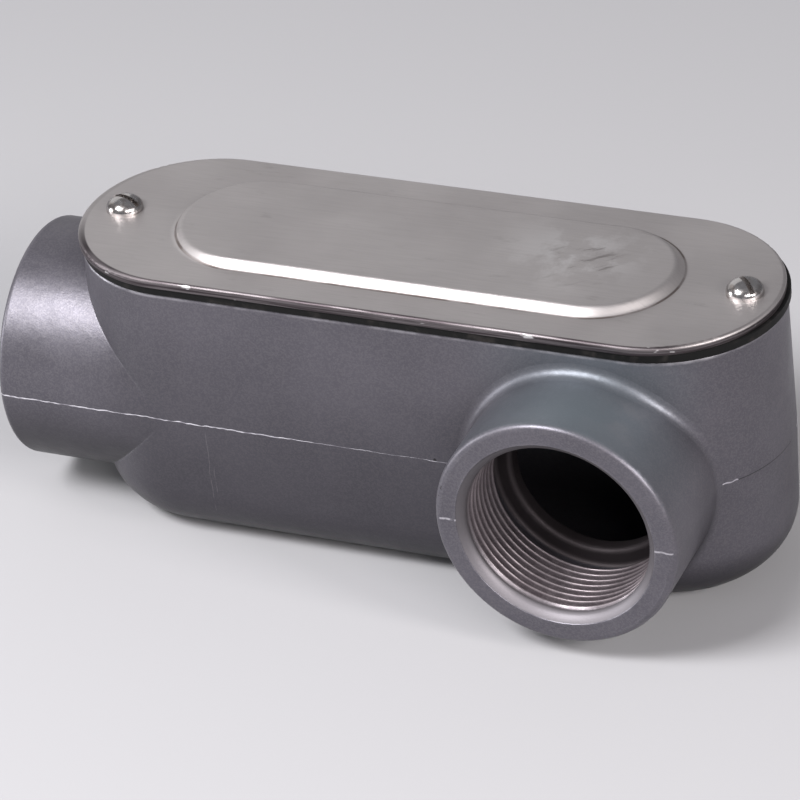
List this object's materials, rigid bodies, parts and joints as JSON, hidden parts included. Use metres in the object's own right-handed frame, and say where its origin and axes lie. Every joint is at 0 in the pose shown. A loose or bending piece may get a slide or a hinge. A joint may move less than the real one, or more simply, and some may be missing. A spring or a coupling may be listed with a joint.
{
  "type": "conduit body",
  "caption": "L-shaped threaded conduit body with a side outlet, wire chamber, gasket and screwed-on embossed cover.",
  "frame": {"origin": "centre of the flat back of the casting, opposite the cover", "axes": "+Z out through the cover; the end hub opens towards -X and the side hub towards -Y"},
  "size_m": [0.1917, 0.081, 0.0775],
  "materials": {
    "painted_casting": "grey enamel with a fine metallic grain",
    "gasket_rubber": "matt black",
    "cover_sheet": "satin sheet with a faint grain",
    "screw_plating": "bright plating"
  },
  "bodies": {
    "casting": {"housing": "painted_casting"},
    "cover_plate": {"cover": "cover_sheet", "gasket": "gasket_rubber"},
    "left_screw": {"left_cover_screw": "screw_plating"},
    "right_screw": {"right_cover_screw": "screw_plating"}
  },
  "joints": [
    {"name": "cover_lift", "type": "slide", "parent": "casting", "child": "cover_plate", "axis": [0, 0, 1], "range_m": [0, 0.04]},
    {"name": "left_screw_turn", "type": "hinge", "parent": "cover_plate", "child": "left_screw", "pos_m": [-0.0786, 0, 0.074], "axis": [0, 0, 1], "range_deg": [0, 2412]},
    {"name": "right_screw_turn", "type": "hinge", "parent": "cover_plate", "child": "right_screw", "pos_m": [0.0786, 0, 0.074], "axis": [0, 0, 1], "range_deg": [0, 2412]}
  ]
}
